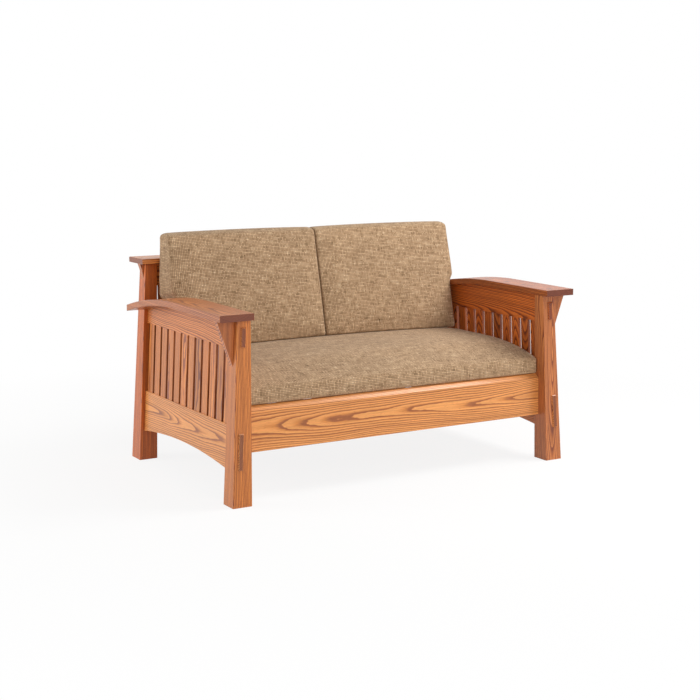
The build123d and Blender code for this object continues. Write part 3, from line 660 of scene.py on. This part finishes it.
def stuffed(piece, pinned, cap):
    """Places of the cover's points after some frames as pressed cloth, moved by the cap at most."""
    mesh = piece.data
    before = np.zeros(len(mesh.vertices) * 3)
    mesh.vertices.foreach_get("co", before)
    before = before.reshape(-1, 3)
    group = piece.vertex_groups.new(name="seams")
    group.add(np.flatnonzero(pinned).tolist(), 1.0, "REPLACE")
    cloth = piece.modifiers.new("stuffing", "CLOTH")
    settings = cloth.settings
    settings.quality = 6
    settings.mass = 0.35
    settings.tension_stiffness = 18.0
    settings.compression_stiffness = 12.0
    settings.shear_stiffness = 6.0
    settings.bending_stiffness = 0.6
    settings.use_pressure = True
    settings.uniform_pressure_force = FOAM_PRESSURE
    settings.vertex_group_mass = "seams"
    settings.effector_weights.gravity = 0.0
    cloth.collision_settings.use_collision = False
    cloth.point_cache.frame_start, cloth.point_cache.frame_end = 1, CLOTH_FRAMES
    for number in range(1, CLOTH_FRAMES + 1):
        bpy.context.scene.frame_set(number)
    evaluated = piece.evaluated_get(bpy.context.evaluated_depsgraph_get())
    after = np.zeros(before.size)
    evaluated.data.vertices.foreach_get("co", after)
    piece.modifiers.remove(cloth)
    piece.vertex_groups.clear()
    bpy.context.scene.frame_set(1)
    shift = after.reshape(-1, 3) - before
    length = np.linalg.norm(shift, axis=1, keepdims=True)
    shift *= np.minimum(1.0, cap / np.maximum(length, 1e-9))
    most = round(float(length.max()) / MILLIMETRE, 1)
    print(piece.name, "swelled by up to", most, "mm before the cap")
    return before + shift


def sew_up(piece, places, body):
    """Moves the cover's points, subdivides it once and puts it in the place of its solid."""
    piece.data.vertices.foreach_set("co", places.ravel())
    piece.data.update()
    round_off = piece.modifiers.new("round_off", "SUBSURF")
    round_off.levels = round_off.render_levels = 1
    piece.data.materials.append(cover_cloth)
    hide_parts(body)
    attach(piece, body)
    print(piece.name, "has", len(places), "points")


# %% [markdown]
# ## The seat cushion
#
# One long box of firm foam. Its upright border rolls softly into a top that rises fast from the
# edge and is nearly flat in the middle, lower at the ends. A cubic in the depth gives that:
# height = edge + crown * (1 - |depth| ^ 3), with both shares counted from the middle.
#
# Where foam is pressed, its round corners go square: under the cushion, where it lies on the
# deck, and at both ends, where the posts hold it. There the rounded shape is mixed back towards
# the block it came from.

# %% Seat cushion
SEAT_EDGE = 0.068
SEAT_CROWN = 0.066
SEAT_CORNER = 0.020
SEAT_SET_BACK = 0.007
SEAT_PAST_END = 0.0036
SEAT_CLEAR = 0.0005
SEAT_WAIST = 0.004  # how far the borders draw in at the middle
ENDS_LOWER = 0.2
SOLE_SQUARE = 0.6
ENDS_SQUARE = 0.85
SQUARE_FROM = 0.05  # distance from an end at which its corners begin to go square
SQUARE_RAMP = 0.03
SOLE_SHARE = 0.02
SEAT_CAP = 0.004

low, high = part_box("seat_cushion")
seat_front = low.y + SEAT_SET_BACK
seat_middle_y = (seat_front + high.y) / 2
seat_foot = low.z + SEAT_CLEAR
half_length = (high.x - low.x) / 2 + SEAT_PAST_END
half_depth = (high.y - seat_front) / 2 - SEAT_CLEAR
SEAT_HALF = (half_length, half_depth, SEAT_EDGE / 2)


def seat_crown(x, y):
    """Rise of the top over its edge: crown * (1 - x² / 5) * (1 - |y|³), x and y as shares."""
    share_x = np.clip(x / SEAT_HALF[0], -1, 1)
    share_y = np.clip(np.abs(y - seat_middle_y) / SEAT_HALF[1], 0, 1)
    return SEAT_CROWN * (1 - ENDS_LOWER * share_x**2) * (1 - share_y**3)


places, quads, flat, at_end = panels(SEAT_HALF, SEAT_CORNER)
shape = rounded(places, SEAT_HALF, SEAT_CORNER)
pressed = SOLE_SQUARE * np.clip(-places[:, 2:] / SEAT_HALF[2], 0, 1)
shape += pressed * (places - shape)
near_end = np.abs(places[:, :1]) - SEAT_HALF[0] + SQUARE_FROM
squeezed = ENDS_SQUARE * np.clip(near_end / SQUARE_RAMP, 0, 1)
shape[:, :2] += squeezed * (places[:, :2] - shape[:, :2])

lift = (shape[:, 2] / SEAT_HALF[2] + 1) / 2
waist = SEAT_WAIST * (1 - (shape[:, 0] / SEAT_HALF[0]) ** 2)
shape[:, 1] = seat_middle_y + shape[:, 1] * (1 - waist / SEAT_HALF[1])
shape[:, 2] += seat_foot + SEAT_HALF[2] + lift * seat_crown(shape[:, 0], shape[:, 1])
seat_cover = cover_object("seat_cover", shape, quads, flat)

seams = at_end[:, 2] & (at_end[:, 0] | at_end[:, 1])
stuffed_seat = stuffed(seat_cover, seams | (lift < SOLE_SHARE), SEAT_CAP)
stuffed_seat[:, 0] = np.clip(stuffed_seat[:, 0], -SEAT_HALF[0], SEAT_HALF[0])
stuffed_seat[:, 2] = np.maximum(stuffed_seat[:, 2], seat_foot)
sew_up(seat_cover, stuffed_seat, "seat_cushion")

# %% [markdown]
# ## The back cushions
#
# Each is a wedge, thick at the foot and slim at the head, so that the sitter leans back a
# little. Its sole lies on the crown of the seat, its back leans on the cap board, and where it
# clears the arm it bulges over it, as stuffing does that is squeezed from the side. The same
# lattice serves: its thickness is squeezed towards the head, and its sole takes the height of
# the seat under it. The front seams are drawn in by a millimetre at last, the way a row of
# stitches pulls the cloth down.
#
# The bulge has to know where the arm is. Its top runs level, then falls in a parabola to the
# rear post, so the same curve tells the cushion how high it must stay slim.

# %% The arm beside the cushion
ARM_LEVEL_TO = -0.094  # the top is level from the front to this y
ARM_FALL = 0.059
ARM_SIDE = 0.0026  # how far the cover stands out beside the arm
OVER_ARM = 0.0205  # and over it
BULGE_START = 0.004  # height over the arm's top at which the bulge starts
BULGE_RAMP = 0.012  # and in which it grows to its full size
HEAD_SLIMMER = 0.006  # the bulge gets slimmer by this towards the head
SLIMMER_FROM = 0.75  # from this height on
SLIMMER_RAMP = 0.15  # over this much height

arm_low, arm_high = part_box("arm_left")


def arm_top_at(y):
    """Height of the arm's top: level in front, then falling with the square of the way back."""
    way_back = np.clip((y - ARM_LEVEL_TO) / (arm_high.y - ARM_LEVEL_TO), 0, 1)
    return arm_high.z - ARM_FALL * way_back**2


def outer_bulge(y, z):
    """How far the outer side may stand out: little below the arm's top, most just above it.

    It grows with the smooth step 3 s² - 2 s³, where s is the share of the ramp's height.
    """
    share = np.clip((z - arm_top_at(y) - BULGE_START) / BULGE_RAMP, 0, 1)
    slimmer = HEAD_SLIMMER * np.clip((z - SLIMMER_FROM) / SLIMMER_RAMP, 0, 1)
    return ARM_SIDE + (OVER_ARM - slimmer - ARM_SIDE) * share * share * (3 - 2 * share)


for name, y in (("front", arm_low.y), ("rear", arm_high.y)):
    print("height of the arm's top at its", name, "end:", round(float(arm_top_at(y)), 3))

# %% Back cushions
BACK_CORNER = 0.016
BACK_HALF_DEPTH = 0.070  # half sizes of the block, before it takes its real thickness and height
BACK_HALF_HEIGHT = 0.235
BACK_SQUARE = 0.45
FOOT_THICKNESS = 0.199
HEAD_THICKNESS = 0.088
HEAD_LEAN = 0.007
FACE_SWELL = 0.010
SIDES_FLATTER = 0.85
HEAD_BELOW = 0.002
HEAD_ROUND_ACROSS = 0.003
HEAD_ROUND_DEEP = 0.012
REST_GAP = 0.0045
MIDDLE_GAP = 0.0040
FOOT_SHARE = 0.1
BACK_CAP = 0.005
SEAM_DRAW = 0.0012

for side, outer in (("left", -1), ("right", 1)):
    low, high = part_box(f"back_cushion_{side}")
    half = ((high.x - low.x) / 2, BACK_HALF_DEPTH, BACK_HALF_HEIGHT)
    places, quads, flat, at_end = panels(half, BACK_CORNER)
    shape = rounded(places, half, BACK_CORNER)
    shape[:, ::2] += BACK_SQUARE * (places[:, ::2] - shape[:, ::2])
    share_x, share_t = shape[:, 0] / half[0], shape[:, 1] / half[1]
    rise = (shape[:, 2] / half[2] + 1) / 2

    # the wedge: its thickness falls evenly, and its face swells as a parabola both ways
    rear = high.y - HEAD_LEAN * rise
    thickness = FOOT_THICKNESS + (HEAD_THICKNESS - FOOT_THICKNESS) * rise
    swell = FACE_SWELL * (1 - SIDES_FLATTER * share_x**2) * 4 * rise * (1 - rise)
    depth = rear - (thickness + swell) * (1 - share_t) / 2
    head = high.z - HEAD_BELOW - HEAD_ROUND_ACROSS * share_x**2 - HEAD_ROUND_DEEP * share_t**2
    wide = (low.x + high.x) / 2 + shape[:, 0]
    sole = seat_foot + SEAT_EDGE + seat_crown(wide, depth) + REST_GAP
    tall = sole + (head - sole) * rise

    # the sixth power keeps the bulge close to the outer side
    outward = np.clip(outer * share_x, 0, 1) ** 6
    wide = wide + outer * outward * outer_bulge(depth, tall)
    sewn = np.stack([wide, depth, tall], axis=1)
    cover = cover_object(f"back_cover_{side}", sewn, quads, flat)

    seams = at_end[:, 1] & (at_end[:, 0] | at_end[:, 2])
    on_seat = at_end[:, 2] & (rise < FOOT_SHARE)
    puffed = stuffed(cover, seams | on_seat, BACK_CAP)
    edge = max(-low.x, high.x)
    limit = edge + outer_bulge(puffed[:, 1], puffed[:, 2])
    puffed[:, 0] = outer * np.clip(outer * puffed[:, 0], MIDDLE_GAP / 2, limit)
    puffed[:, 1] = np.minimum(puffed[:, 1], high.y)
    puffed[seams & (share_t < 0), 1] += SEAM_DRAW
    sew_up(cover, puffed, f"back_cushion_{side}")

# %% [markdown]
# ## The room
#
# A studio sweep: a pale floor that runs on into white, and three large soft lamps. One stands
# low on the left, a little behind, so that it leaves the gaps between the slats dark. One stands
# in front, left of the middle. The third hangs high on the right and draws a gleam along the
# bevel of the front rail.
#
# The camera sees the floor mostly as plain white near the loveseat and wholly so farther out.
# Only a faint shadow is left under the posts. All other rays meet an ordinary matt floor.

# %% Floor and background
FLOOR_REACH = 30
SHADOW_NEAR = 1.0  # metres from the middle up to which the floor's shadow shows
SHADOW_FAR = 2.6  # and beyond which the floor is plain white
WHITE_SHARE = 0.86
WORLD_LIGHT = 0.42
WHITE = (1, 1, 1, 1)

square = ((-1, -1), (1, -1), (1, 1), (-1, 1))
floor_corners = [(FLOOR_REACH * x, FLOOR_REACH * y, 0) for x, y in square]
floor_mesh = bpy.data.meshes.new("floor")
floor_mesh.from_pydata(floor_corners, [], [(0, 1, 2, 3)])
floor = bpy.data.objects.new("floor", floor_mesh)
collection.objects.link(floor)


def seen_or_mirrored(tree):
    """1 for rays from the camera and for those in a reflection or through glass, else 0."""
    rays = add_node(tree, "LightPath").node.outputs
    glossy, clear = rays["Is Glossy Ray"], rays["Is Transmission Ray"]
    mirrored = add_node(tree, "Math", glossy, clear, operation="MAXIMUM")
    return add_node(tree, "Math", rays["Is Camera Ray"], mirrored, operation="MAXIMUM")


sweep, tree = new_material("studio_floor")
place = add_node(tree, "TexCoord", out="Object")
distance = add_node(tree, "VectorMath", place, out="Value", operation="LENGTH")
whiteness = add_node(tree, "MapRange", distance, SHADOW_NEAR, SHADOW_FAR, WHITE_SHARE, 1.0)
whiteness = add_node(tree, "Math", whiteness, seen_or_mirrored(tree), operation="MULTIPLY")
matt = add_node(tree, "BsdfDiffuse", paint("#F4F2F0"))
white = add_node(tree, "Emission", WHITE, 1.0)
add_node(tree, "OutputMaterial", add_node(tree, "MixShader", whiteness, matt, white))
floor.data.materials.append(sweep)

world = bpy.data.worlds.new("studio")
bpy.context.scene.world = world
world.use_nodes = True
tree = world.node_tree
tree.nodes.clear()
strength = add_node(tree, "MapRange", seen_or_mirrored(tree), 0.0, 1.0, WORLD_LIGHT, 1.0)
add_node(tree, "OutputWorld", add_node(tree, "Background", WHITE, strength))
print("floor of", 2 * FLOOR_REACH, "metres, world light", WORLD_LIGHT)

# %% Lamps


def softbox(name, place, target, size, power):
    """A square area light at a place that faces a target, like a lamp behind a diffuser."""
    data = bpy.data.lights.new(name, "AREA")
    data.size, data.energy = size, power
    lamp = bpy.data.objects.new(name, data)
    lamp.location = place
    way = np.array(target) - np.array(place)
    down = math.atan2(math.hypot(way[0], way[1]), -way[2])
    lamp.rotation_euler = (down, 0.0, math.atan2(way[1], way[0]) - math.pi / 2)
    collection.objects.link(lamp)
    print(name, "at", place, "with", power, "W")


softbox("left", place=(-4.2, 1.9, 1.4), target=(-0.7, 0.0, 0.4), size=2.4, power=92.0)
softbox("front", place=(-0.9, -4.7, 2.0), target=(0.0, 0.0, 0.4), size=2.6, power=52.0)
softbox("high_right", place=(1.95, -1.15, 2.75), target=(0.2, -0.3, 0.4), size=1.6, power=84.0)

bpy.context.scene.view_settings.view_transform = "Standard"
